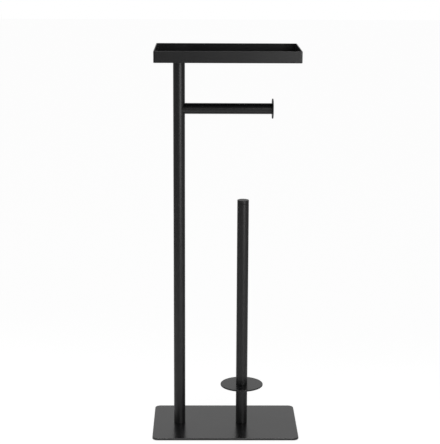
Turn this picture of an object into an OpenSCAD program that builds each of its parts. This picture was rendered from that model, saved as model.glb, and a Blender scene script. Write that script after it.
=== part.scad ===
// Free-standing toilet roll holder: a flat base, a tall post with a tray on top
// and a side arm for the roll in use, and a shorter post that stores spare rolls.
//
// Frame: millimetres, +Z up, +X to the side that the arm points to, and the origin
// on the ground under the middle of the base. Heights named "above the base" are
// measured from the top face of the base plate.

/* [Base] */
// Width of the base plate, left to right
base_w = 203; // [180:1:260]
// Depth of the base plate, front to back
base_d = 131; // [100:1:180]
// Thickness of the base plate
base_t = 3; // [3:0.5:6]
// Radius of the base plate's corners, seen from above
base_corner_r = 8; // [3:0.5:14]
// Radius rounded onto the base plate's upper edge
base_edge_r = 1; // [0.4:0.1:1.8]
// Diameter of each foot pad
foot_pad_d = 16; // [10:1:20]
// Thickness of each foot pad, which is the gap under the base plate
foot_pad_h = 1.5; // [1:0.5:4]
// Distance from the base plate's edges to the middle of each foot pad
foot_pad_inset = 14; // [12:1:24]

/* [Posts] */
// Outer diameter of both posts
post_d = 16; // [15.5:0.1:19]
// Wall thickness of both posts
post_wall = 1.2; // [0.8:0.1:1.4]
// Distance from the base plate's left edge to the main post's axis
main_post_inset = 37; // [28:0.5:44]
// Height of the main post above the base
main_post_h = 517.5; // [490:0.5:600]
// Distance between the axes of the two posts
post_spacing = 88; // [80:1:105]
// Height of the spare post above the base, with its cap
spare_post_h = 323.5; // [260:0.5:400]
// Height of the cap that shows on the spare post
cap_h = 5; // [3:0.5:8]

/* [Tray] */
// Outer width of the tray, left to right
tray_w = 195; // [170:1:230]
// Outer depth of the tray, front to back
tray_d = 118; // [90:1:160]
// Distance from the tray's left side to the main post's axis
tray_post_inset = 32.5; // [20:0.5:60]
// Height of the tray from its underside to its rim
tray_h = 15.5; // [12:0.5:40]
// Thickness of the tray's sheet
tray_t = 1.2; // [0.8:0.1:1.6]
// Outer radius of the tray's upright corners
tray_corner_r = 2.4; // [1.8:0.1:6]

/* [Roll arm] */
// Outer diameter of the roll arm
arm_d = 14.8; // [14:0.1:15.4]
// Wall thickness of the roll arm
arm_wall = 1.2; // [0.8:0.1:1.4]
// Distance from the tray's underside down to the roll arm's axis
arm_drop = 67.5; // [58:0.5:80]
// Reach of the roll arm, from the main post's axis to the outer face of its end disc
arm_reach = 128; // [122:0.5:150]
// Diameter of the disc that keeps the roll on the arm
end_disc_d = 27.2; // [20:0.1:34]
// Thickness of that disc
end_disc_t = 1.8; // [1.2:0.1:4]

/* [Roll rest] */
// Height of the face that the spare rolls stand on, above the base
rest_h = 57; // [50:1:100]
// Diameter of the roll rest
rest_d = 60; // [50:1:80]
// Thickness of the roll rest
rest_t = 2; // [1.5:0.5:4]

/* [Screws and inserts] */
// Diameter of every thread
thread_d = 6; // [5:0.5:6.5]
// Length of the anchor plug and of the threaded inserts in the posts
insert_l = 24; // [22:1:26]
// Length of the threaded insert in the root of the roll arm
arm_insert_l = 18; // [14:1:20]
// Distance that this insert and its stud keep from the main post's wall
arm_setback = 1; // [0.5:0.1:2]
// Length of the two screws that hold the posts to the base
base_screw_l = 20; // [16:1:22]
// Depth of those screws' countersunk heads
sunk_head_h = 2.8; // [2:0.1:3]
// Length of the tray screw under its head
tray_screw_l = 16; // [12:1:20]
// Diameter of the tray screw's domed head
dome_head_d = 11; // [9:0.5:12]
// Height of the tray screw's domed head
dome_head_h = 3.3; // [2.5:0.1:4]
// Diameter of the washer under the tray screw
washer_d = 24; // [18:1:30]
// Thickness of that washer
washer_t = 1.5; // [1:0.1:2]
// Length of the stud that carries the roll arm
arm_stud_l = 32; // [28:1:34]
// Length of the stud between the two tubes of the spare post
post_stud_l = 34; // [26:1:40]
// Length of the spigots on the end disc and on the cap
spigot_l = 14; // [8:1:18]
// Size of the hexagon key, across its flats
key_w = 4; // [3:0.5:4]
// Depth of the hexagon sockets in the screw heads
key_depth = 1.8; // [1.2:0.1:2.2]

/* [Fits] */
// Radial clearance of a screw or stud in its thread
thread_gap = 0.05; // [0.03:0.01:0.1]
// Radial clearance of an insert or spigot in its tube
insert_gap = 0.05; // [0.03:0.01:0.1]
// Radial clearance of a screw or stud in a plain hole
hole_gap = 0.25; // [0.15:0.05:0.4]
// Clearance of a countersunk head in its seat, and of the arm's saddle on the post
seat_gap = 0.05; // [0.03:0.01:0.1]

/* [Hidden] */
$fn = 96;

coat_black = "#26262a";
rubber_black = "#141414";
zinc_steel = "#b4b8bc";

// Cuts run past the faces that they go through by this much
cut = 1;

// Levels, from the ground up
plate_z = foot_pad_h;
deck_z = plate_z + base_t;
rest_z = deck_z + rest_h;
spare_top_z = deck_z + spare_post_h;
tray_z = deck_z + main_post_h;
tray_floor_z = tray_z + tray_t;
arm_z = tray_z - arm_drop;

main_post_x = main_post_inset - base_w / 2;
spare_post_x = main_post_x + post_spacing;
tray_x = main_post_x - tray_post_inset + tray_w / 2;
post_r = post_d / 2;
post_bore_r = post_r - post_wall;
arm_r = arm_d / 2;
arm_bore_r = arm_r - arm_wall;
thread_r = thread_d / 2;
tapped_r = thread_r + thread_gap;
plain_hole_r = thread_r + hole_gap;

// Parts along the arm, measured from the main post's axis
arm_tube_end = arm_reach - end_disc_t;
arm_insert_start = post_r + arm_setback;
arm_stud_start = arm_setback - post_bore_r;

// Outline of a rectangle with round corners, centred on the origin
module round_rect(w, d, r) {
    square([w - 2 * r, d], center = true);
    square([w, d - 2 * r], center = true);
    for (sx = [-1, 1], sy = [-1, 1])
        translate([sx * (w / 2 - r), sy * (d / 2 - r)])
            circle(r = r);
}

// Length of round stock that stands on Z = 0
module rod(r, length) {
    cylinder(r = r, h = length);
}

// Length of tube that stands on Z = 0
module tube(r, bore_r, length) {
    difference() {
        rod(r, length);
        translate([0, 0, -cut]) rod(bore_r, length + 2 * cut);
    }
}

// Threaded insert that stands on Z = 0 inside a tube of the given bore
module insert(bore_r, length) {
    tube(bore_r - insert_gap, tapped_r, length);
}

// Hexagon socket that opens upwards at Z = 0
module key_socket() {
    translate([0, 0, -key_depth])
        cylinder(d = key_w / cos(30), h = key_depth + cut, $fn = 6);
}

// 90 degree cone of a countersunk head, wide at Z = 0, drawn in by the gap
module sunk_cone(gap) {
    cylinder(r1 = thread_r + sunk_head_h - gap, r2 = thread_r - gap, h = sunk_head_h);
}

// Countersunk screw with its head at Z = 0 and its tip up
module sunk_screw(length) {
    difference() {
        union() {
            sunk_cone(seat_gap);
            rod(thread_r, length);
        }
        mirror([0, 0, 1]) key_socket();
    }
}

// Hole for a countersunk screw through the base plate
module sunk_hole() {
    translate([0, 0, plate_z]) {
        sunk_cone(0);
        translate([0, 0, -cut]) rod(plain_hole_r, base_t + 2 * cut);
    }
}

module base_plate() {
    inner_w = base_w - 2 * base_edge_r;
    inner_d = base_d - 2 * base_edge_r;
    corner_x = base_w / 2 - base_corner_r;
    corner_y = base_d / 2 - base_corner_r;
    edge_z = deck_z - base_edge_r;
    color(coat_black)
    difference() {
        union() {
            translate([0, 0, plate_z])
                linear_extrude(base_t)
                    round_rect(inner_w, inner_d, base_corner_r - base_edge_r);
            translate([0, 0, plate_z])
                linear_extrude(base_t - base_edge_r)
                    round_rect(base_w, base_d, base_corner_r);
            for (sy = [-1, 1])
                translate([-corner_x, sy * inner_d / 2, edge_z])
                    rotate([0, 90, 0]) rod(base_edge_r, 2 * corner_x);
            for (sx = [-1, 1])
                translate([sx * inner_w / 2, corner_y, edge_z])
                    rotate([90, 0, 0]) rod(base_edge_r, 2 * corner_y);
            for (sx = [-1, 1], sy = [-1, 1])
                translate([sx * corner_x, sy * corner_y, edge_z])
                    rotate_extrude()
                        translate([base_corner_r - base_edge_r, 0])
                            circle(r = base_edge_r);
        }
        for (x = [main_post_x, spare_post_x])
            translate([x, 0, 0]) sunk_hole();
    }
}

// Foot pad at the corner that the two signs name
module foot_pad(sx, sy) {
    color(rubber_black)
    translate([sx * (base_w / 2 - foot_pad_inset), sy * (base_d / 2 - foot_pad_inset), 0])
        rod(foot_pad_d / 2, foot_pad_h);
}

module main_post() {
    color(coat_black)
    translate([main_post_x, 0, 0])
    difference() {
        translate([0, 0, deck_z]) tube(post_r, post_bore_r, main_post_h);
        translate([0, 0, arm_z])
            rotate([0, 90, 0]) rod(plain_hole_r, post_r + cut);
    }
}

// Insert in the foot of the post that stands at x
module foot_insert(x) {
    color(zinc_steel)
    translate([x, 0, deck_z]) insert(post_bore_r, insert_l);
}

// Screw up through the base into the post that stands at x
module foot_screw(x) {
    color(zinc_steel)
    translate([x, 0, plate_z]) sunk_screw(base_screw_l);
}

module main_post_top_insert() {
    color(zinc_steel)
    translate([main_post_x, 0, tray_z - insert_l]) insert(post_bore_r, insert_l);
}

// Cross-tapped plug inside the main post that the arm's stud screws into
module arm_anchor() {
    color(zinc_steel)
    translate([main_post_x, 0, arm_z])
    difference() {
        translate([0, 0, -insert_l / 2]) rod(post_bore_r - insert_gap, insert_l);
        translate([-post_r, 0, 0]) rotate([0, 90, 0]) rod(tapped_r, post_d);
    }
}

// Sheet tray whose upright walls end in a plain edge
module tray() {
    color(coat_black)
    translate([tray_x, 0, tray_z])
    difference() {
        linear_extrude(tray_h)
            round_rect(tray_w, tray_d, tray_corner_r);
        translate([0, 0, tray_t])
            linear_extrude(tray_h)
                round_rect(tray_w - 2 * tray_t, tray_d - 2 * tray_t, tray_corner_r - tray_t);
        translate([main_post_x - tray_x, 0, -cut]) rod(plain_hole_r, tray_t + 2 * cut);
    }
}

module tray_washer() {
    color(zinc_steel)
    translate([main_post_x, 0, tray_floor_z])
        tube(washer_d / 2, plain_hole_r, washer_t);
}

// Domed head: the cap of the ball that is as wide and as high as the head
module dome_head() {
    head_r = dome_head_d / 2;
    ball_r = (head_r * head_r + dome_head_h * dome_head_h) / (2 * dome_head_h);
    intersection() {
        translate([0, 0, dome_head_h - ball_r]) sphere(r = ball_r);
        rod(head_r, dome_head_h);
    }
}

module tray_screw() {
    color(zinc_steel)
    translate([main_post_x, 0, tray_floor_z + washer_t])
    difference() {
        union() {
            dome_head();
            translate([0, 0, -tray_screw_l]) rod(thread_r, tray_screw_l);
        }
        translate([0, 0, dome_head_h]) key_socket();
    }
}

// Turns what stands on Z = 0 to lie along +X from the main post's axis, at arm height
module along_arm(start) {
    translate([main_post_x + start, 0, arm_z])
        rotate([0, 90, 0])
            children();
}

// Tube whose root is cut to a saddle that seats on the main post
module roll_arm() {
    color(coat_black)
    difference() {
        along_arm(0) tube(arm_r, arm_bore_r, arm_tube_end);
        translate([main_post_x, 0, arm_z - arm_d])
            rod(post_r + seat_gap, 2 * arm_d);
    }
}

module arm_root_insert() {
    color(zinc_steel)
    along_arm(arm_insert_start) insert(arm_bore_r, arm_insert_l);
}

module arm_stud() {
    color(zinc_steel)
    along_arm(arm_stud_start) rod(thread_r, arm_stud_l);
}

// End disc in one piece with the spigot that holds it in the arm
module arm_end_disc() {
    color(coat_black)
    union() {
        along_arm(arm_tube_end) rod(end_disc_d / 2, end_disc_t);
        along_arm(arm_tube_end - spigot_l) rod(arm_bore_r - insert_gap, spigot_l);
    }
}

module spare_post_lower() {
    color(coat_black)
    translate([spare_post_x, 0, deck_z])
        tube(post_r, post_bore_r, rest_h - rest_t);
}

module spare_post_joint_insert_lower() {
    color(zinc_steel)
    translate([spare_post_x, 0, rest_z - rest_t - insert_l])
        insert(post_bore_r, insert_l);
}

module spare_post_stud() {
    color(zinc_steel)
    translate([spare_post_x, 0, rest_z - rest_t / 2 - post_stud_l / 2])
        rod(thread_r, post_stud_l);
}

module spare_post_joint_insert_upper() {
    color(zinc_steel)
    translate([spare_post_x, 0, rest_z]) insert(post_bore_r, insert_l);
}

// Disc between the two tubes of the spare post, which the rolls stand on
module roll_rest() {
    color(coat_black)
    translate([spare_post_x, 0, rest_z - rest_t])
        tube(rest_d / 2, plain_hole_r, rest_t);
}

module spare_post_upper() {
    color(coat_black)
    translate([spare_post_x, 0, rest_z])
        tube(post_r, post_bore_r, spare_top_z - cap_h - rest_z);
}

// Cap in one piece with the spigot that holds it in the tube
module spare_post_cap() {
    color(coat_black)
    translate([spare_post_x, 0, spare_top_z - cap_h])
    union() {
        rod(post_r, cap_h);
        translate([0, 0, -spigot_l]) rod(post_bore_r - insert_gap, spigot_l);
    }
}

base_plate();
foot_pad(-1, -1);  // foot_pad_front_left
foot_pad(1, -1);  // foot_pad_front_right
foot_pad(-1, 1);  // foot_pad_rear_left
foot_pad(1, 1);  // foot_pad_rear_right
main_post();
foot_insert(main_post_x);  // main_post_foot_insert
foot_screw(main_post_x);  // main_post_foot_screw
main_post_top_insert();
arm_anchor();
tray();
tray_washer();
tray_screw();
roll_arm();
arm_root_insert();
arm_stud();
arm_end_disc();
spare_post_lower();
foot_insert(spare_post_x);  // spare_post_foot_insert
foot_screw(spare_post_x);  // spare_post_foot_screw
spare_post_joint_insert_lower();
spare_post_stud();
spare_post_joint_insert_upper();
roll_rest();
spare_post_upper();
spare_post_cap();
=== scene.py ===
"""Free-standing toilet roll holder in satin black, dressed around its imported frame.

Frame: metres, +Z up, +X to the side that the roll arm points to, +Y to the back, and
the origin on the ground under the middle of the base plate.
"""

from __future__ import annotations

import logging
import math
from dataclasses import dataclass
from enum import Enum
from typing import Callable, Iterable

import bmesh
import bpy
from mathutils import Matrix, Vector

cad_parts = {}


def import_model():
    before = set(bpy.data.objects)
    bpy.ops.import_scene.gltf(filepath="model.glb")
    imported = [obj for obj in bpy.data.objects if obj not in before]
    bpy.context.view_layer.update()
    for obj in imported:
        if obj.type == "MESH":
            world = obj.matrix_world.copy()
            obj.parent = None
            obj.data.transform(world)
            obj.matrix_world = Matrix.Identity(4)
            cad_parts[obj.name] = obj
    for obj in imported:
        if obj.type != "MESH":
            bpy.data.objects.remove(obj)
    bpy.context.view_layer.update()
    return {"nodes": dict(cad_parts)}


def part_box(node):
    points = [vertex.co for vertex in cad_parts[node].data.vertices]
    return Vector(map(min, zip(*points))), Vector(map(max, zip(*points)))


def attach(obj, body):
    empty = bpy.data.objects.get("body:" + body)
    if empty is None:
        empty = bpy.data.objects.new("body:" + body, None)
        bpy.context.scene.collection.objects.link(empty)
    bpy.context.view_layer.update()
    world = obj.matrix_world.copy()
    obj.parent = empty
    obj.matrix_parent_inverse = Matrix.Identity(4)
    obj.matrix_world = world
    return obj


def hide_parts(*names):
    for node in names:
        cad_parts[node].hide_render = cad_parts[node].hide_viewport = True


LOG = logging.getLogger("roll_holder")

MM = 0.001
BODY = "root"
PREFIX = "holder_"
IMAGE_HEIGHT_PX = 444

ROUND_SIDES = 128
SMALL_ROUND_SIDES = 64
HEXAGON_SIDES = 6
ROUND_PROFILE = 0.5
SMOOTH_ANGLE = math.radians(32)

TOLERANCE = 0.01 * MM
WELD = 0.001 * MM
OVERCUT = 1 * MM

THREAD_RADIUS = 3 * MM
PLAIN_HOLE_RADIUS = 3.25 * MM
SUNK_HEAD_HEIGHT = 2.8 * MM
SPIGOT_GAP = 0.05 * MM

WIDE_GRID = math.radians(70)
CLOSE_GRID = math.radians(40)

Triple = tuple[float, float, float]
Levels = tuple[tuple[float, float], ...]
Test = Callable[[list[Vector]], bool]
Node = bpy.types.Node
Socket = bpy.types.NodeSocket
Piece = bpy.types.Object


class Axis(Enum):
    """Direction that a turned piece runs along."""

    UP = "up"
    ARM = "arm"

    @property
    def index(self) -> int:
        """Index of the axis in a vector."""
        return 2 if self is Axis.UP else 0

    @property
    def direction(self) -> Vector:
        """Unit vector along the axis."""
        return Vector((0, 0, 1)) if self is Axis.UP else Vector((1, 0, 0))

    @property
    def turn(self) -> Triple:
        """Rotation that lays a standing primitive along the axis."""
        return (0, 0, 0) if self is Axis.UP else (0, math.pi / 2, 0)


class Part(Enum):
    """Kind of mesh element that a selection works on."""

    EDGE = "edges"
    FACE = "faces"


@dataclass(frozen=True)
class Place:
    """Box that a node of the frame fills."""

    low: Vector
    high: Vector

    @classmethod
    def of(cls, node: str) -> Place:
        """Read the box of a node.

        Args:
            node: Name of the node in the frame.

        Returns:
            The node's box at rest.
        """
        low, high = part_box(node)
        return cls(low, high)

    @property
    def centre(self) -> Vector:
        """Middle of the box."""
        return (self.low + self.high) / 2

    @property
    def size(self) -> Vector:
        """Extent of the box along each axis."""
        return self.high - self.low

    def foot(self, axis: Axis) -> Vector:
        """Middle of the box's face where the axis starts.

        Args:
            axis: Axis to start on.

        Returns:
            The point at the lower end, centred across the axis.
        """
        point = self.centre
        point[axis.index] = self.low[axis.index]
        return point


class Bench:
    """Modelling steps that every sub-assembly uses."""

    @staticmethod
    def clear() -> None:
        """Leave edit mode and deselect everything."""
        if bpy.context.object is not None and bpy.context.object.mode != "OBJECT":
            bpy.ops.object.mode_set(mode="OBJECT")
        bpy.ops.object.select_all(action="DESELECT")

    @staticmethod
    def pick(piece: Piece) -> None:
        """Select one piece alone and make it active.

        Args:
            piece: Object to work on.
        """
        Bench.clear()
        piece.select_set(True)
        bpy.context.view_layer.objects.active = piece

    @staticmethod
    def settle(name: str) -> Piece:
        """Name the new primitive and put its place into its mesh.

        Args:
            name: Name for the object and its mesh.

        Returns:
            The object, at the origin, unturned and unscaled.
        """
        bpy.ops.object.transform_apply(location=True, rotation=True, scale=True)
        piece = bpy.context.object
        piece.name = name
        piece.data.name = name
        return piece

    @staticmethod
    def block(name: str, place: Place) -> Piece:
        """Start a piece as a block.

        Args:
            name: Name of the piece.
            place: Box that the block fills.

        Returns:
            The block.
        """
        Bench.clear()
        bpy.ops.mesh.primitive_cube_add(size=1, location=place.centre)
        bpy.ops.transform.resize(value=place.size)
        return Bench.settle(name)

    @staticmethod
    def bar(
        name: str,
        start: Vector,
        radius: float,
        length: float,
        axis: Axis = Axis.UP,
        sides: int = ROUND_SIDES,
        open_ends: bool = False,
        end_radius: float | None = None,
    ) -> Piece:
        """Start a piece as round, tapered or many-sided stock.

        Args:
            name: Name of the piece.
            start: Point on the axis where it begins.
            radius: Radius where it begins.
            length: Length along the axis.
            axis: Axis that it runs along.
            sides: Number of sides.
            open_ends: True to leave both ends without a face.
            end_radius: Radius at the other end, if it isn't the same.

        Returns:
            The stock.
        """
        Bench.clear()
        bpy.ops.mesh.primitive_cone_add(
            vertices=sides,
            radius1=radius,
            radius2=radius if end_radius is None else end_radius,
            depth=length,
            end_fill_type="NOTHING" if open_ends else "NGON",
            location=start + axis.direction * length / 2,
            rotation=axis.turn,
        )
        return Bench.settle(name)

    @staticmethod
    def select(piece: Piece, part: Part, test: Test) -> None:
        """Go into edit mode and select the edges or faces that pass a test.

        Args:
            piece: Object to work on.
            part: Kind of element to select.
            test: Says from an element's corner points whether to select it.
        """
        Bench.pick(piece)
        bpy.ops.object.mode_set(mode="EDIT")
        bpy.ops.mesh.select_mode(type=part.name)
        bpy.ops.mesh.select_all(action="DESELECT")
        mesh = bmesh.from_edit_mesh(piece.data)
        for element in getattr(mesh, part.value):
            if test([vertex.co for vertex in element.verts]):
                element.select_set(True)
        bmesh.update_edit_mesh(piece.data)

    @staticmethod
    def bevel(width: float, segments: int) -> None:
        """Round the selected edges, then leave edit mode.

        Args:
            width: How far the rounding reaches from each edge.
            segments: Number of faces across the rounding.
        """
        bpy.ops.mesh.bevel(
            offset_type="OFFSET",
            offset=width,
            segments=segments,
            profile=ROUND_PROFILE,
            affect="EDGES",
            clamp_overlap=True,
        )
        bpy.ops.object.mode_set(mode="OBJECT")

    @staticmethod
    def level(axis: Axis, value: float) -> Test:
        """Make a test for elements that lie flat at one level.

        Args:
            axis: Axis that the level is measured on.
            value: The level.

        Returns:
            A test for Bench.select.
        """
        return lambda points: all(abs(p[axis.index] - value) < TOLERANCE for p in points)

    @staticmethod
    def is_upright(points: list[Vector]) -> bool:
        """Say whether an edge stands upright, from its two end points."""
        across = points[1] - points[0]
        return math.hypot(across.x, across.y) < TOLERANCE

    @staticmethod
    def ring(axis: Axis, centre: Vector, value: float, radius: float) -> Test:
        """Make a test for the edges of one ring.

        Args:
            axis: Axis that the ring is square to.
            centre: Any point on that axis.
            value: Level of the ring on the axis.
            radius: Radius of the ring.

        Returns:
            A test for Bench.select.
        """
        flat = Bench.level(axis, value)

        def test(points: list[Vector]) -> bool:
            """Say whether all the points lie on the ring.

            Args:
                points: Corners of an element.

            Returns:
                True if they all do.
            """
            for point in points:
                across = point - centre
                across[axis.index] = 0
                if abs(across.length - radius) > TOLERANCE:
                    return False
            return flat(points)

        return test

    @staticmethod
    def round_ring(
        piece: Piece,
        axis: Axis,
        centre: Vector,
        value: float,
        radius: float,
        width: float,
        segments: int,
    ) -> None:
        """Round one ring of edges of a turned piece.

        Args:
            piece: Object to work on.
            axis: Axis of the piece.
            centre: Any point on that axis.
            value: Level of the ring.
            radius: Radius of the ring.
            width: Width of the rounding.
            segments: Number of faces across it.
        """
        Bench.select(piece, Part.EDGE, Bench.ring(axis, centre, value, radius))
        Bench.bevel(width, segments)

    @staticmethod
    def draw_out(
        piece: Piece, axis: Axis, value: float, inset: float, length: float
    ) -> None:
        """Inset the end face of a turned piece and draw it out to a spigot.

        Args:
            piece: Object to work on.
            axis: Axis of the piece.
            value: Level of the end face.
            inset: How far the face is drawn in.
            length: Length of the spigot, negative against the axis.
        """
        Bench.select(piece, Part.FACE, Bench.level(axis, value))
        if inset:
            bpy.ops.mesh.inset(thickness=inset, depth=0)
        bpy.ops.mesh.extrude_region_move(
            TRANSFORM_OT_translate={"value": axis.direction * length}
        )
        bpy.ops.object.mode_set(mode="OBJECT")

    @staticmethod
    def disc(node: str, edge: float, segments: int, sides: int = ROUND_SIDES) -> Piece:
        """Make a flat disc with a plain hole, by insetting and bridging its faces.

        Args:
            node: Node of the frame that it stands for.
            edge: Width of the rounding on its outer edges.
            segments: Number of faces across the rounding.
            sides: Number of sides.

        Returns:
            The disc.
        """
        place = Place.of(node)
        radius = place.size.x / 2
        foot = place.foot(Axis.UP)
        disc = Bench.bar(PREFIX + node, foot, radius, place.size.z, sides=sides)
        levels = (place.low.z, place.high.z)
        lower, upper = (Bench.level(Axis.UP, value) for value in levels)
        Bench.select(disc, Part.FACE, lambda points: lower(points) or upper(points))
        bpy.ops.mesh.inset(thickness=radius - PLAIN_HOLE_RADIUS, depth=0)
        bpy.ops.mesh.bridge_edge_loops()
        bpy.ops.object.mode_set(mode="OBJECT")
        for value in levels:
            Bench.round_ring(disc, Axis.UP, foot, value, radius, edge, segments)
        return disc

    @staticmethod
    def apply(piece: Piece, kind: str, **settings: object) -> None:
        """Add a modifier, set it and apply it.

        Args:
            piece: Object to work on.
            kind: Blender's name for the modifier's type.
            **settings: Properties of the modifier.
        """
        Bench.pick(piece)
        bpy.ops.object.modifier_add(type=kind)
        modifier = piece.modifiers[-1]
        for name, value in settings.items():
            setattr(modifier, name, value)
        bpy.ops.object.modifier_apply(modifier=modifier.name)

    @staticmethod
    def cut(piece: Piece, cutter: Piece) -> None:
        """Cut one shape out of a piece and delete the cutter.

        Args:
            piece: Object to cut.
            cutter: Object that is cut away.
        """
        Bench.apply(piece, "BOOLEAN", operation="DIFFERENCE", solver="EXACT", object=cutter)
        mesh = cutter.data
        Bench.pick(cutter)
        bpy.ops.object.delete()
        bpy.data.meshes.remove(mesh)

    @staticmethod
    def tube(
        name: str, start: Vector, radius: float, wall: float, length: float, axis: Axis
    ) -> Piece:
        """Make a tube from open stock that is given a wall.

        Args:
            name: Name of the piece.
            start: Point on the axis where it begins.
            radius: Outer radius.
            wall: Wall thickness.
            length: Length along the axis.
            axis: Axis that it runs along.

        Returns:
            The tube.
        """
        piece = Bench.bar(name, start, radius, length, axis, open_ends=True)
        Bench.apply(piece, "SOLIDIFY", thickness=wall, offset=-1, use_even_offset=True)
        return piece

    @staticmethod
    def copy(piece: Piece, name: str, move: Vector) -> Piece:
        """Copy a piece with its own mesh to another place.

        Args:
            piece: Object to copy.
            name: Name of the copy.
            move: Way from the original to the copy.

        Returns:
            The copy, with its place in its mesh.
        """
        Bench.pick(piece)
        bpy.ops.object.duplicate(linked=False)
        bpy.ops.transform.translate(value=move)
        return Bench.settle(name)

    @staticmethod
    def close_up(piece: Piece) -> None:
        """Weld the mesh, turn its faces outwards and smooth its round faces.

        Args:
            piece: Object to finish.
        """
        Bench.pick(piece)
        bpy.ops.object.mode_set(mode="EDIT")
        bpy.ops.mesh.select_all(action="SELECT")
        bpy.ops.mesh.remove_doubles(threshold=WELD)
        bpy.ops.mesh.dissolve_degenerate(threshold=WELD)
        bpy.ops.mesh.normals_make_consistent(inside=False)
        bpy.ops.object.mode_set(mode="OBJECT")
        bpy.ops.object.shade_smooth_by_angle(angle=SMOOTH_ANGLE)
        Bench.apply(piece, "WEIGHTED_NORMAL", keep_sharp=True)


class NodeDesk:
    """Short calls for wiring shader nodes."""

    def __init__(self, tree: bpy.types.NodeTree) -> None:
        """Keep the tree and clear it.

        Args:
            tree: Node tree to wire.
        """
        self.tree = tree
        self.tree.nodes.clear()

    def add(self, kind: str, **settings: object) -> Node:
        """Add a node and set its properties.

        Args:
            kind: Blender's name for the node's type.
            **settings: Properties of the node.

        Returns:
            The node.
        """
        node = self.tree.nodes.new(kind)
        for name, value in settings.items():
            setattr(node, name, value)
        return node

    def feed(self, source: Socket | float, target: Socket) -> None:
        """Link an input to a socket, or set it to a number.

        Args:
            source: Output socket or number.
            target: Input socket.
        """
        if isinstance(source, Socket):
            self.tree.links.new(source, target)
        else:
            target.default_value = source

    def maths(self, operation: str, *values: Socket | float) -> Socket:
        """Add a Math node.

        Args:
            operation: Blender's name for the operation.
            *values: Numbers or sockets for its inputs, in order.

        Returns:
            Its output socket.
        """
        node = self.add("ShaderNodeMath", operation=operation)
        for socket, value in zip(node.inputs, values):
            self.feed(value, socket)
        return node.outputs[0]


class SurfaceGrain:
    """Shared effect: a slow drift of tone and gloss, and a fine grain."""

    NAME = "surface_grain"
    INPUTS = (
        ("Colour", "NodeSocketColor"),
        ("Tone drift", "NodeSocketFloat"),
        ("Roughness", "NodeSocketFloat"),
        ("Gloss drift", "NodeSocketFloat"),
        ("Drift scale", "NodeSocketFloat"),
        ("Grain scale", "NodeSocketFloat"),
        ("Grain stretch", "NodeSocketVector"),
    )
    OUTPUTS = (
        ("Colour", "NodeSocketColor"),
        ("Roughness", "NodeSocketFloat"),
        ("Height", "NodeSocketFloat"),
    )
    GLOSS_OFFSET = (0.37, 0.11, 0.23)
    FINE_SHARE = 0.35
    FINE_RATIO = 2.7
    TONE_OCTAVES = 3.0
    GLOSS_OCTAVES = 4.0
    COARSE_OCTAVES = 1.0
    FINE_OCTAVES = 2.0

    @classmethod
    def group(cls) -> bpy.types.NodeTree:
        """Build the group once, and give the same one afterwards.

        Returns:
            The node group.
        """
        found = bpy.data.node_groups.get(cls.NAME)
        if found is not None:
            return found
        tree = bpy.data.node_groups.new(cls.NAME, "ShaderNodeTree")
        for direction, sockets in (("INPUT", cls.INPUTS), ("OUTPUT", cls.OUTPUTS)):
            for name, kind in sockets:
                tree.interface.new_socket(name=name, in_out=direction, socket_type=kind)
        desk = NodeDesk(tree)
        given = desk.add("NodeGroupInput").outputs
        wanted = desk.add("NodeGroupOutput").inputs
        place = desk.add("ShaderNodeTexCoord").outputs["Object"]

        drift = given["Drift scale"]
        tone = cls._noise(desk, place, drift, cls.TONE_OCTAVES)
        value = desk.maths("MULTIPLY_ADD", cls._swing(desk, tone), given["Tone drift"], 1.0)
        shade = desk.add("ShaderNodeHueSaturation")
        desk.feed(given["Colour"], shade.inputs["Color"])
        desk.feed(value, shade.inputs["Value"])
        desk.feed(shade.outputs["Color"], wanted["Colour"])

        shifted = desk.add("ShaderNodeVectorMath", operation="ADD")
        desk.feed(place, shifted.inputs[0])
        shifted.inputs[1].default_value = cls.GLOSS_OFFSET
        gloss = cls._noise(desk, shifted.outputs[0], drift, cls.GLOSS_OCTAVES)
        swing = cls._swing(desk, gloss)
        rough = desk.maths("MULTIPLY_ADD", swing, given["Gloss drift"], given["Roughness"])
        desk.feed(rough, wanted["Roughness"])

        stretched = desk.add("ShaderNodeVectorMath", operation="MULTIPLY")
        desk.feed(place, stretched.inputs[0])
        desk.feed(given["Grain stretch"], stretched.inputs[1])
        stretched_place = stretched.outputs[0]
        coarse = cls._noise(desk, stretched_place, given["Grain scale"], cls.COARSE_OCTAVES)
        fine_scale = desk.maths("MULTIPLY", given["Grain scale"], cls.FINE_RATIO)
        fine = cls._noise(desk, stretched_place, fine_scale, cls.FINE_OCTAVES)
        height = desk.maths("MULTIPLY_ADD", fine, cls.FINE_SHARE, coarse)
        desk.feed(height, wanted["Height"])
        return tree

    @staticmethod
    def _swing(desk: NodeDesk, noise: Socket) -> Socket:
        """Move a noise from the range 0 to 1 to the range -1 to 1."""
        return desk.maths("MULTIPLY_ADD", noise, 2.0, -1.0)

    @staticmethod
    def _noise(desk: NodeDesk, place: Socket, scale: Socket, octaves: float) -> Socket:
        """Add a noise.

        Args:
            desk: Desk of the group's tree.
            place: Coordinates that the noise reads.
            scale: Socket that gives its scale.
            octaves: How many finer layers it has.

        Returns:
            The noise's value.
        """
        noise = desk.add("ShaderNodeTexNoise")
        noise.inputs["Detail"].default_value = octaves
        desk.feed(place, noise.inputs["Vector"])
        desk.feed(scale, noise.inputs["Scale"])
        return noise.outputs[0]


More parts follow.
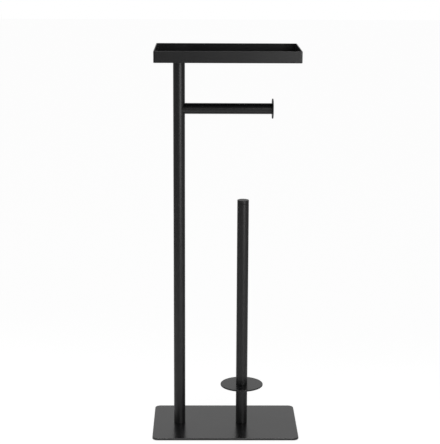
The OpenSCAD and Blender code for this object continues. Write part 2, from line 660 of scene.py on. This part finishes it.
@dataclass(frozen=True)
class Finish:
    """Surface finish: tone, gloss, and the grain that shows close by.

    Lengths are in metres. Drift and grain sizes are those of one patch or one grain.
    """

    slot: str
    colour: Triple
    roughness: float
    metallic: float = 0.0
    specular: float = 0.5
    tone_drift: float = 0.1
    gloss_drift: float = 0.04
    drift_size: float = 35 * MM
    grain_size: float = 0.5 * MM
    grain_stretch: Triple = (1.0, 1.0, 1.0)
    grain_height: float = 0.012 * MM

    def material(self) -> bpy.types.Material:
        """Build the finish's material once, and give the same one afterwards.

        Its name isn't the slot's, because the frame has a plain material of that name.

        Returns:
            The material.
        """
        name = PREFIX + self.slot
        found = bpy.data.materials.get(name)
        if found is not None:
            return found
        material = bpy.data.materials.new(name)
        material.use_nodes = True
        desk = NodeDesk(material.node_tree)
        output = desk.add("ShaderNodeOutputMaterial")
        shader = desk.add("ShaderNodeBsdfPrincipled")
        desk.feed(shader.outputs[0], output.inputs["Surface"])
        shader.inputs["Metallic"].default_value = self.metallic
        shader.inputs["Specular IOR Level"].default_value = self.specular

        grain = desk.add("ShaderNodeGroup", node_tree=SurfaceGrain.group())
        values = {
            "Colour": (*self.colour, 1.0),
            "Tone drift": self.tone_drift,
            "Roughness": self.roughness,
            "Gloss drift": self.gloss_drift,
            "Drift scale": 1 / self.drift_size,
            "Grain scale": 1 / self.grain_size,
            "Grain stretch": self.grain_stretch,
        }
        for socket, value in values.items():
            grain.inputs[socket].default_value = value
        desk.feed(grain.outputs["Colour"], shader.inputs["Base Color"])
        desk.feed(grain.outputs["Roughness"], shader.inputs["Roughness"])

        bump = desk.add("ShaderNodeBump")
        bump.inputs["Strength"].default_value = 1.0
        bump.inputs["Distance"].default_value = self.grain_height
        desk.feed(grain.outputs["Height"], bump.inputs["Height"])
        desk.feed(bump.outputs["Normal"], shader.inputs["Normal"])
        return material

    def dress(self, piece: Piece, *nodes: str) -> None:
        """Finish a piece, put it on the frame and report it.

        Args:
            piece: Object to dress.
            *nodes: Nodes of the frame that it stands for.
        """
        Bench.close_up(piece)
        piece.data.materials.clear()
        piece.data.materials.append(self.material())
        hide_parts(*nodes)
        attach(piece, BODY)
        LOG.info("%s: %s, %d faces", piece.name, self.slot, len(piece.data.polygons))

    def coat_node(self, node: Piece) -> None:
        """Give a node of the frame this finish, and leave its shape alone.

        Args:
            node: Object of the frame.
        """
        for slot in node.material_slots:
            slot.material = self.material()
        if not node.material_slots:
            node.data.materials.append(self.material())
        LOG.info("%s: %s, shape kept", node.name, self.slot)


class Finishes:
    """Every finish of the holder."""

    BASE = Finish(
        slot="base_coat", colour=(0.005, 0.005, 0.0055), roughness=0.23, specular=0.7
    )
    POST = Finish(slot="post_coat", colour=(0.005, 0.005, 0.0055), roughness=0.37)
    TRAY = Finish(slot="tray_coat", colour=(0.004, 0.004, 0.0045), roughness=0.3)
    ARM = Finish(slot="arm_coat", colour=(0.004, 0.004, 0.0045), roughness=0.25)
    RUBBER = Finish(
        slot="pad_rubber",
        colour=(0.018, 0.018, 0.018),
        roughness=0.78,
        specular=0.3,
        tone_drift=0.18,
        drift_size=6 * MM,
        grain_size=0.3 * MM,
        grain_height=0.03 * MM,
    )
    ZINC = Finish(
        slot="zinc_steel",
        colour=(0.62, 0.63, 0.64),
        roughness=0.28,
        metallic=1.0,
        tone_drift=0.06,
        gloss_drift=0.07,
        drift_size=4 * MM,
        grain_size=0.35 * MM,
        grain_stretch=(1.0, 1.0, 4.0),
        grain_height=0.006 * MM,
    )


@dataclass
class KeySocket:
    """Hexagon socket in the head of a screw."""

    width: float = 4 * MM
    depth: float = 1.8 * MM

    def cutter(self, mouth: Vector, opens_up: bool) -> Piece:
        """Make the shape that cuts the socket.

        Args:
            mouth: Middle of the socket's mouth.
            opens_up: True if the socket opens upwards.

        Returns:
            A six-sided bar from past the mouth to the socket's floor.
        """
        low = -self.depth if opens_up else -OVERCUT
        return Bench.bar(
            "key_cutter",
            mouth + Vector((0, 0, low)),
            self.width / 2 / math.cos(math.pi / HEXAGON_SIDES),
            self.depth + OVERCUT,
            sides=HEXAGON_SIDES,
        )


@dataclass
class FootPads:
    """Four round rubber pads under the base plate."""

    nodes: tuple[str, ...] = (
        "foot_pad_front_left",
        "foot_pad_front_right",
        "foot_pad_rear_left",
        "foot_pad_rear_right",
    )
    lower_edge: float = 0.5 * MM
    upper_edge: float = 0.15 * MM
    segments: int = 4

    def build(self) -> None:
        """Model one pad, copy it to the other corners and dress all four."""
        place = Place.of(self.nodes[0])
        radius = place.size.x / 2
        foot = place.foot(Axis.UP)
        pad = Bench.bar(
            PREFIX + self.nodes[0], foot, radius, place.size.z, sides=SMALL_ROUND_SIDES
        )
        edges = ((place.low.z, self.lower_edge), (place.high.z, self.upper_edge))
        for value, width in edges:
            Bench.round_ring(pad, Axis.UP, foot, value, radius, width, self.segments)
        pads = [pad]
        for node in self.nodes[1:]:
            move = Place.of(node).centre - place.centre
            pads.append(Bench.copy(pad, PREFIX + node, move))
        for piece, node in zip(pads, self.nodes):
            Finishes.RUBBER.dress(piece, node)


@dataclass
class BasePlate:
    """Flat plate with round corners and two countersunk holes from below."""

    corner_radius: float = 8 * MM
    corner_segments: int = 16
    upper_edge: float = 1 * MM
    upper_segments: int = 5
    lower_edge: float = 0.4 * MM
    lower_segments: int = 2

    def build(self) -> None:
        """Model the plate, drill it under both posts and dress it."""
        place = Place.of("base_plate")
        plate = Bench.block(PREFIX + "base_plate", place)
        Bench.select(plate, Part.EDGE, Bench.is_upright)
        Bench.bevel(self.corner_radius, self.corner_segments)
        for value, width, segments in (
            (place.high.z, self.upper_edge, self.upper_segments),
            (place.low.z, self.lower_edge, self.lower_segments),
        ):
            Bench.select(plate, Part.EDGE, Bench.level(Axis.UP, value))
            Bench.bevel(width, segments)
        for post in ("main_post", "spare_post_lower"):
            self._drill(plate, Place.of(post).centre, place)
        Finishes.BASE.dress(plate, "base_plate")

    def _drill(self, plate: Piece, centre: Vector, place: Place) -> None:
        """Cut one countersunk hole from below.

        Args:
            plate: The base plate.
            centre: Any point on the hole's axis.
            place: Box of the plate.
        """
        start = Vector((centre.x, centre.y, place.low.z - OVERCUT))
        through = place.size.z + 2 * OVERCUT
        Bench.cut(plate, Bench.bar("drill", start, PLAIN_HOLE_RADIUS, through))
        length = SUNK_HEAD_HEIGHT + OVERCUT
        mouth_radius = THREAD_RADIUS + length
        cone = Bench.bar(
            "countersink", start, mouth_radius, length, end_radius=THREAD_RADIUS
        )
        Bench.cut(plate, cone)


@dataclass
class FootScrews:
    """Two countersunk screws, up through the base plate into the posts."""

    nodes: tuple[str, str] = ("main_post_foot_screw", "spare_post_foot_screw")
    tip_edge: float = 0.5 * MM
    head_edge: float = 0.15 * MM

    def build(self) -> None:
        """Model one screw, copy it to the other post and dress both."""
        place = Place.of(self.nodes[0])
        foot = place.foot(Axis.UP)
        screw = Bench.bar(
            PREFIX + self.nodes[0],
            foot,
            place.size.x / 2,
            SUNK_HEAD_HEIGHT,
            sides=SMALL_ROUND_SIDES,
            end_radius=THREAD_RADIUS,
        )
        neck = place.low.z + SUNK_HEAD_HEIGHT
        Bench.draw_out(screw, Axis.UP, neck, 0, place.high.z - neck)
        for value, radius, width in (
            (place.high.z, THREAD_RADIUS, self.tip_edge),
            (place.low.z, place.size.x / 2, self.head_edge),
        ):
            Bench.round_ring(screw, Axis.UP, foot, value, radius, width, 1)
        Bench.cut(screw, KeySocket().cutter(foot, opens_up=False))
        move = Place.of(self.nodes[1]).centre - place.centre
        second = Bench.copy(screw, PREFIX + self.nodes[1], move)
        for piece, node in zip((screw, second), self.nodes):
            Finishes.ZINC.dress(piece, node)


@dataclass(frozen=True)
class PostTube:
    """Upright tube that both posts are made of."""

    wall: float = 1.2 * MM
    end_chamfer: float = 0.2 * MM

    def build(self, node: str) -> Piece:
        """Model one tube, with its ends chamfered.

        Args:
            node: Node of the frame that it stands for.

        Returns:
            The tube, not dressed yet.
        """
        place = Place.of(node)
        radius = place.size.x / 2
        foot = place.foot(Axis.UP)
        tube = Bench.tube(PREFIX + node, foot, radius, self.wall, place.size.z, Axis.UP)
        for value in (place.low.z, place.high.z):
            Bench.round_ring(tube, Axis.UP, foot, value, radius, self.end_chamfer, 1)
        return tube


@dataclass
class MainPost:
    """Tall tube that carries the tray and the roll arm."""

    tube: PostTube = PostTube()

    def build(self) -> None:
        """Model the tube, drill it for the arm's stud and dress it."""
        post = self.tube.build("main_post")
        place = Place.of("main_post")
        start = Vector((place.centre.x, place.centre.y, Place.of("roll_arm").centre.z))
        reach = place.size.x / 2 + OVERCUT
        Bench.cut(post, Bench.bar("stud_drill", start, PLAIN_HOLE_RADIUS, reach, Axis.ARM))
        Finishes.POST.dress(post, "main_post")


@dataclass
class SparePost:
    """Shorter post in two tubes, with a rest for the rolls between and a cap on top."""

    tube: PostTube = PostTube()
    cap_edge: float = 0.5 * MM
    cap_segments: int = 4
    cap_seam: float = 0.35 * MM
    cap_height: float = 5 * MM
    rest_edge: float = 0.7 * MM
    rest_segments: int = 4

    def build(self) -> None:
        """Model and dress both tubes, the rest and the cap."""
        for node in ("spare_post_lower", "spare_post_upper"):
            Finishes.POST.dress(self.tube.build(node), node)
        rest = Bench.disc("roll_rest", self.rest_edge, self.rest_segments)
        Finishes.ARM.dress(rest, "roll_rest")
        self._build_cap()

    def _build_cap(self) -> None:
        """Model and dress the cap, with the spigot that holds it."""
        place = Place.of("spare_post_cap")
        radius = place.size.x / 2
        seat = place.high.z - self.cap_height
        foot = Vector((place.centre.x, place.centre.y, seat))
        cap = Bench.bar(PREFIX + "spare_post_cap", foot, radius, self.cap_height)
        spigot_radius = radius - self.tube.wall - SPIGOT_GAP
        Bench.draw_out(cap, Axis.UP, seat, radius - spigot_radius, place.low.z - seat)
        Bench.round_ring(
            cap, Axis.UP, foot, place.high.z, radius, self.cap_edge, self.cap_segments
        )
        Bench.round_ring(cap, Axis.UP, foot, seat, radius, self.cap_seam, 1)
        Finishes.POST.dress(cap, "spare_post_cap")


@dataclass
class RollArm:
    """Side arm for the roll in use, with its end disc."""

    wall: float = 1.2 * MM
    end_chamfer: float = 0.2 * MM
    saddle_gap: float = 0.05 * MM
    disc_thickness: float = 1.8 * MM
    disc_edge: float = 0.45 * MM
    disc_segments: int = 3

    def build(self) -> None:
        """Model and dress the arm and the disc."""
        place = Place.of("roll_arm")
        post = Place.of("main_post")
        radius = place.size.z / 2
        root = Vector((post.centre.x, place.centre.y, place.centre.z))
        length = place.high.x - root.x
        arm = Bench.tube(PREFIX + "roll_arm", root, radius, self.wall, length, Axis.ARM)
        Bench.round_ring(arm, Axis.ARM, root, place.high.x, radius, self.end_chamfer, 1)
        reach = place.size.z
        saddle = Bench.bar(
            "saddle_cutter",
            root - Vector((0, 0, reach)),
            post.size.x / 2 + self.saddle_gap,
            2 * reach,
        )
        Bench.cut(arm, saddle)
        Finishes.ARM.dress(arm, "roll_arm")
        self._build_disc(radius - self.wall - SPIGOT_GAP)

    def _build_disc(self, spigot_radius: float) -> None:
        """Model and dress the end disc, with the spigot that holds it.

        Args:
            spigot_radius: Radius that fits the arm's bore.
        """
        place = Place.of("arm_end_disc")
        radius = place.size.z / 2
        seat = place.high.x - self.disc_thickness
        start = Vector((seat, place.centre.y, place.centre.z))
        disc = Bench.bar(
            PREFIX + "arm_end_disc", start, radius, self.disc_thickness, Axis.ARM
        )
        Bench.draw_out(disc, Axis.ARM, seat, radius - spigot_radius, place.low.x - seat)
        for value in (seat, place.high.x):
            Bench.round_ring(
                disc, Axis.ARM, start, value, radius, self.disc_edge, self.disc_segments
            )
        Finishes.ARM.dress(disc, "arm_end_disc")


@dataclass
class Tray:
    """Shallow sheet tray with upright walls that end in a plain edge."""

    sheet: float = 1.2 * MM
    corner_radius: float = 2.4 * MM
    corner_segments: int = 8
    rim_edge: float = 0.45 * MM
    rim_segments: int = 3
    lower_edge: float = 0.6 * MM
    lower_segments: int = 3

    def build(self) -> None:
        """Model and dress the tray."""
        place = Place.of("tray")
        tray = Bench.block(PREFIX + "tray", place)
        Bench.select(tray, Part.EDGE, Bench.is_upright)
        Bench.bevel(self.corner_radius, self.corner_segments)
        Bench.select(tray, Part.FACE, Bench.level(Axis.UP, place.high.z))
        bpy.ops.mesh.inset(thickness=self.sheet, depth=0)
        depth = place.size.z - self.sheet
        bpy.ops.mesh.extrude_region_move(TRANSFORM_OT_translate={"value": (0, 0, -depth)})
        bpy.ops.object.mode_set(mode="OBJECT")
        for value, width, segments in (
            (place.high.z, self.rim_edge, self.rim_segments),
            (place.low.z, self.lower_edge, self.lower_segments),
        ):
            Bench.select(tray, Part.EDGE, self._rims(place, value))
            Bench.bevel(width, segments)
        hole = Place.of("main_post").centre
        start = Vector((hole.x, hole.y, place.low.z - OVERCUT))
        through = self.sheet + 2 * OVERCUT
        Bench.cut(tray, Bench.bar("tray_drill", start, PLAIN_HOLE_RADIUS, through))
        Finishes.TRAY.dress(tray, "tray")

    def _rims(self, place: Place, value: float) -> Test:
        """Make a test for the edges at one level that run along a wall.

        Those that cross its thickness are left out.

        Args:
            place: Box of the tray.
            value: Level of the edges.

        Returns:
            A test for Bench.select.
        """
        flat = Bench.level(Axis.UP, value)
        centre = place.centre

        def depth(point: Vector) -> float:
            """Measure how far a point lies inside the rounded outline.

            Args:
                point: A point of the tray.

            Returns:
                The distance.
            """
            core = place.size / 2 - Vector((1, 1, 0)) * self.corner_radius
            over_x = abs(point.x - centre.x) - core.x
            over_y = abs(point.y - centre.y) - core.y
            if over_x > 0 and over_y > 0:
                return self.corner_radius - math.hypot(over_x, over_y)
            return self.corner_radius - max(over_x, over_y)

        def test(points: list[Vector]) -> bool:
            """Say whether an edge is level and runs along a wall."""
            step = abs(depth(points[0]) - depth(points[1]))
            return flat(points) and step < self.sheet / 2

        return test


@dataclass
class TrayScrew:
    """Domed screw and wide washer that hold the tray on the main post."""

    head_radius: float = 5.5 * MM
    head_height: float = 3.3 * MM
    dome_rings: int = 48
    tip_edge: float = 0.5 * MM
    washer_edge: float = 0.3 * MM
    washer_segments: int = 3

    def build(self) -> None:
        """Model and dress the washer and the screw."""
        washer = Bench.disc(
            "tray_washer", self.washer_edge, self.washer_segments, SMALL_ROUND_SIDES
        )
        Finishes.ZINC.dress(washer, "tray_washer")
        self._build_screw()

    def _build_screw(self) -> None:
        """Model and dress the screw: a ball cut to a dome, with its shank and socket."""
        place = Place.of("tray_screw")
        seat = place.high.z - self.head_height
        ball = (self.head_radius**2 + self.head_height**2) / (2 * self.head_height)
        Bench.clear()
        bpy.ops.mesh.primitive_uv_sphere_add(
            segments=SMALL_ROUND_SIDES,
            ring_count=self.dome_rings,
            radius=ball,
            location=(place.centre.x, place.centre.y, place.high.z - ball),
        )
        screw = Bench.settle(PREFIX + "tray_screw")
        Bench.select(screw, Part.FACE, lambda points: True)
        bpy.ops.mesh.bisect(
            plane_co=(0, 0, seat), plane_no=(0, 0, 1), use_fill=True, clear_inner=True
        )
        bpy.ops.object.mode_set(mode="OBJECT")
        inset = self.head_radius - THREAD_RADIUS
        Bench.draw_out(screw, Axis.UP, seat, inset, place.low.z - seat)
        foot = place.foot(Axis.UP)
        Bench.round_ring(screw, Axis.UP, foot, place.low.z, THREAD_RADIUS, self.tip_edge, 1)
        mouth = Vector((place.centre.x, place.centre.y, place.high.z))
        Bench.cut(screw, KeySocket().cutter(mouth, opens_up=True))
        Finishes.ZINC.dress(screw, "tray_screw")


@dataclass
class HiddenFixings:
    """Inserts, studs and the anchor plug inside the tubes, in their frame shapes."""

    nodes: tuple[str, ...] = (
        "main_post_foot_insert",
        "main_post_top_insert",
        "arm_anchor",
        "arm_root_insert",
        "arm_stud",
        "spare_post_foot_insert",
        "spare_post_joint_insert_lower",
        "spare_post_stud",
        "spare_post_joint_insert_upper",
    )

    def build(self, frame_nodes: dict[str, Piece]) -> None:
        """Give each fixing its finish.

        Args:
            frame_nodes: Objects of the frame by node name.
        """
        for node in self.nodes:
            Finishes.ZINC.coat_node(frame_nodes[node])


@dataclass
class StudioCamera:
    """Camera that looks a little down at the holder from the front."""

    location: Triple = (-0.0302, -1.82408, 0.70535)
    focal_px: float = 1351.53
    sensor_height: float = 36.0
    pitch: float = math.radians(12.63)
    yaw: float = math.radians(0.69)
    roll: float = math.radians(0.26)
    clip: tuple[float, float] = (0.05, 60.0)

    def build(self) -> None:
        """Make the camera and set it as the scene's."""
        data = bpy.data.cameras.new("studio_camera")
        camera = bpy.data.objects.new("studio_camera", data)
        bpy.context.scene.collection.objects.link(camera)
        data.sensor_fit = "VERTICAL"
        data.sensor_height = self.sensor_height
        data.lens = self.focal_px * self.sensor_height / IMAGE_HEIGHT_PX
        data.clip_start, data.clip_end = self.clip
        forward = Vector(
            (
                math.sin(self.yaw) * math.cos(self.pitch),
                math.cos(self.yaw) * math.cos(self.pitch),
                -math.sin(self.pitch),
            )
        )
        level = Vector((math.cos(self.yaw), -math.sin(self.yaw), 0))
        above = level.cross(forward)
        right = math.cos(self.roll) * level + math.sin(self.roll) * above
        up = math.cos(self.roll) * above - math.sin(self.roll) * level
        turned = Matrix((right, up, -forward)).transposed().to_4x4()
        camera.matrix_world = Matrix.Translation(self.location) @ turned
        bpy.context.scene.camera = camera


@dataclass(frozen=True)
class Softbox:
    """Rectangular lamp that faces a point of the holder, with a grid over its face.

    The grid is given by the full angle that the light spreads over. The radiance is
    that of the face, seen straight on. A plain lamp's energy is ENERGY_RATIO times its
    radiance and its area.
    """

    ENERGY_RATIO = 4

    name: str
    location: Triple
    target: Triple
    width: float
    height: float
    radiance: float
    spread: float

    def build(self) -> None:
        """Make the lamp."""
        data = bpy.data.lights.new(self.name, "AREA")
        data.shape = "RECTANGLE"
        data.size = self.width
        data.size_y = self.height
        data.spread = self.spread
        area = self.width * self.height
        data.energy = self.ENERGY_RATIO * self.radiance * area / self._gain
        lamp = bpy.data.objects.new(self.name, data)
        bpy.context.scene.collection.objects.link(lamp)
        lamp.location = self.location
        away = Vector(self.location) - Vector(self.target)
        lamp.rotation_euler = away.to_track_quat("Z", "Y").to_euler()

    @property
    def _gain(self) -> float:
        """How much brighter the grid makes the face for the same energy."""
        half = self.spread / 2
        return math.tan(half) / (math.tan(half) - half)


@dataclass
class Surround:
    """White studio round the holder, dimmer where its gloss mirrors the dark front.

    Each level pairs the sine of an elevation with the brightness that gloss sees there.
    A ramp runs from 0 to 1, so a sine is halved and moved to the ramp's middle.
    """

    MIDDLE = 0.5

    fill: float = 0.38
    rear_levels: Levels = ((0.0, 0.3), (0.2, 0.6), (0.4, 0.65))
    front_levels: Levels = ((-0.05, 0.5), (0.3, 0.15), (0.8, 0.03))
    front_begins: float = -0.2
    front_full: float = -0.8
    right_begins: float = 0.35
    right_full: float = 0.95
    right_share: float = 0.6

    def build(self) -> None:
        """Make the world: white to the camera, plain fill light, and its mirrored look."""
        world = bpy.data.worlds.new("studio_surround")
        bpy.context.scene.world = world
        world.use_nodes = True
        desk = NodeDesk(world.node_tree)
        output = desk.add("ShaderNodeOutputWorld")
        light_path = desk.add("ShaderNodeLightPath").outputs
        direction = desk.add("ShaderNodeTexCoord").outputs["Generated"]
        parts = desk.add("ShaderNodeSeparateXYZ")
        desk.feed(direction, parts.inputs[0])
        across, along, up = (parts.outputs[name] for name in "XYZ")

        height = desk.maths("MULTIPLY_ADD", up, self.MIDDLE, self.MIDDLE)
        rear = self._levels(desk, height, self.rear_levels)
        front = self._levels(desk, height, self.front_levels)
        to_front = self._ease(desk, along, (self.front_begins, self.front_full), (0, 1))
        around = self._mix(desk, to_front, rear, front)
        right = self._ease(
            desk, across, (self.right_begins, self.right_full), (1, self.right_share)
        )
        gloss = desk.maths("MULTIPLY", around, right)

        mirrored = desk.maths(
            "MAXIMUM", light_path["Is Glossy Ray"], light_path["Is Transmission Ray"]
        )
        level = self._mix(desk, mirrored, self.fill, gloss)
        seen = self._mix(desk, light_path["Is Camera Ray"], level, 1.0)
        glow = desk.add("ShaderNodeBackground")
        glow.inputs["Color"].default_value = (1, 1, 1, 1)
        desk.feed(seen, glow.inputs["Strength"])
        desk.feed(glow.outputs[0], output.inputs["Surface"])

    @classmethod
    def _levels(cls, desk: NodeDesk, height: Socket, levels: Levels) -> Socket:
        """Add a ramp of brightness over the elevation.

        Args:
            desk: Desk of the world's tree.
            height: Sine of the elevation, moved to the range 0 to 1.
            levels: Sines of elevations with their brightness.

        Returns:
            The ramp's value.
        """
        node = desk.add("ShaderNodeValToRGB")
        ramp = node.color_ramp
        ramp.interpolation = "EASE"
        while len(ramp.elements) < len(levels):
            ramp.elements.new(1.0)
        for element, (sine, brightness) in zip(ramp.elements, levels):
            element.position = cls.MIDDLE + cls.MIDDLE * sine
            element.color = (brightness, brightness, brightness, 1)
        desk.feed(height, node.inputs[0])
        return node.outputs["Color"]

    @staticmethod
    def _ease(
        desk: NodeDesk,
        value: Socket,
        given: tuple[float, float],
        wanted: tuple[float, float],
    ) -> Socket:
        """Ease a value from one range into another.

        Args:
            desk: Desk of the world's tree.
            value: Value to map.
            given: Where it starts and ends.
            wanted: What these become.

        Returns:
            The eased value.
        """
        node = desk.add("ShaderNodeMapRange", interpolation_type="SMOOTHSTEP")
        desk.feed(value, node.inputs["Value"])
        names = ("From Min", "From Max", "To Min", "To Max")
        for name, number in zip(names, given + wanted):
            node.inputs[name].default_value = number
        return node.outputs["Result"]

    @staticmethod
    def _mix(
        desk: NodeDesk, share: Socket, first: Socket | float, second: Socket | float
    ) -> Socket:
        """Mix two values.

        Args:
            desk: Desk of the world's tree.
            share: Share of the second value.
            first: Value or number at share 0.
            second: Value or number at share 1.

        Returns:
            The mixed value.
        """
        node = desk.add("ShaderNodeMix")
        desk.feed(share, node.inputs["Factor"])
        desk.feed(first, node.inputs["A"])
        desk.feed(second, node.inputs["B"])
        return node.outputs["Result"]


@dataclass
class Studio:
    """Plain pale floor and three soft lamps in a white surround."""

    floor_size: float = 16.0
    floor_tone: float = 0.88
    floor_shadow_share: float = 0.2
    floor_glow: float = 0.9
    lamps: tuple[Softbox, ...] = (
        Softbox(
            name="key_softbox",
            location=(0.74, -1.52, 0.68),
            target=(0.0, 0.0, 0.68),
            width=1.0,
            height=1.25,
            radiance=3.6,
            spread=WIDE_GRID,
        ),
        Softbox(
            name="right_floor_softbox",
            location=(0.45, -0.38, 1.5),
            target=(0.45, -0.38, 0.0),
            width=0.8,
            height=0.8,
            radiance=12.0,
            spread=CLOSE_GRID,
        ),
        Softbox(
            name="left_floor_softbox",
            location=(-0.5, -0.25, 1.5),
            target=(-0.5, -0.25, 0.0),
            width=0.8,
            height=0.8,
            radiance=11.0,
            spread=CLOSE_GRID,
        ),
    )

    def build(self) -> None:
        """Make the floor, the lamps and the surround, and set the view."""
        self._build_floor()
        for lamp in self.lamps:
            lamp.build()
        Surround().build()
        bpy.context.scene.view_settings.view_transform = "Standard"

    def _build_floor(self) -> None:
        """Make the floor: white to the camera, with the holder's soft shadow."""
        Bench.clear()
        bpy.ops.mesh.primitive_plane_add(size=self.floor_size, location=(0, 0, 0))
        floor = Bench.settle("studio_floor")
        material = bpy.data.materials.new("studio_floor")
        material.use_nodes = True
        desk = NodeDesk(material.node_tree)
        output = desk.add("ShaderNodeOutputMaterial")
        paint = desk.add("ShaderNodeBsdfDiffuse")
        paint.inputs["Color"].default_value = (*[self.floor_tone] * 3, 1)
        shadow = desk.add("ShaderNodeBsdfDiffuse")
        shadow.inputs["Color"].default_value = (*[self.floor_shadow_share] * 3, 1)
        glow = desk.add("ShaderNodeEmission")
        glow.inputs["Strength"].default_value = self.floor_glow
        seen = desk.add("ShaderNodeAddShader")
        desk.feed(shadow.outputs[0], seen.inputs[0])
        desk.feed(glow.outputs[0], seen.inputs[1])
        choice = desk.add("ShaderNodeMixShader")
        light_path = desk.add("ShaderNodeLightPath")
        desk.feed(light_path.outputs["Is Camera Ray"], choice.inputs[0])
        desk.feed(paint.outputs[0], choice.inputs[1])
        desk.feed(seen.outputs[0], choice.inputs[2])
        desk.feed(choice.outputs[0], output.inputs["Surface"])
        floor.data.materials.append(material)


def main() -> None:
    """Load the frame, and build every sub-assembly and the studio."""
    logging.basicConfig(level=logging.INFO, format="%(message)s")
    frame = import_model()
    StudioCamera().build()
    BasePlate().build()
    FootPads().build()
    FootScrews().build()
    MainPost().build()
    SparePost().build()
    RollArm().build()
    Tray().build()
    TrayScrew().build()
    HiddenFixings().build(frame["nodes"])
    Studio().build()


if __name__ == "__main__":
    main()
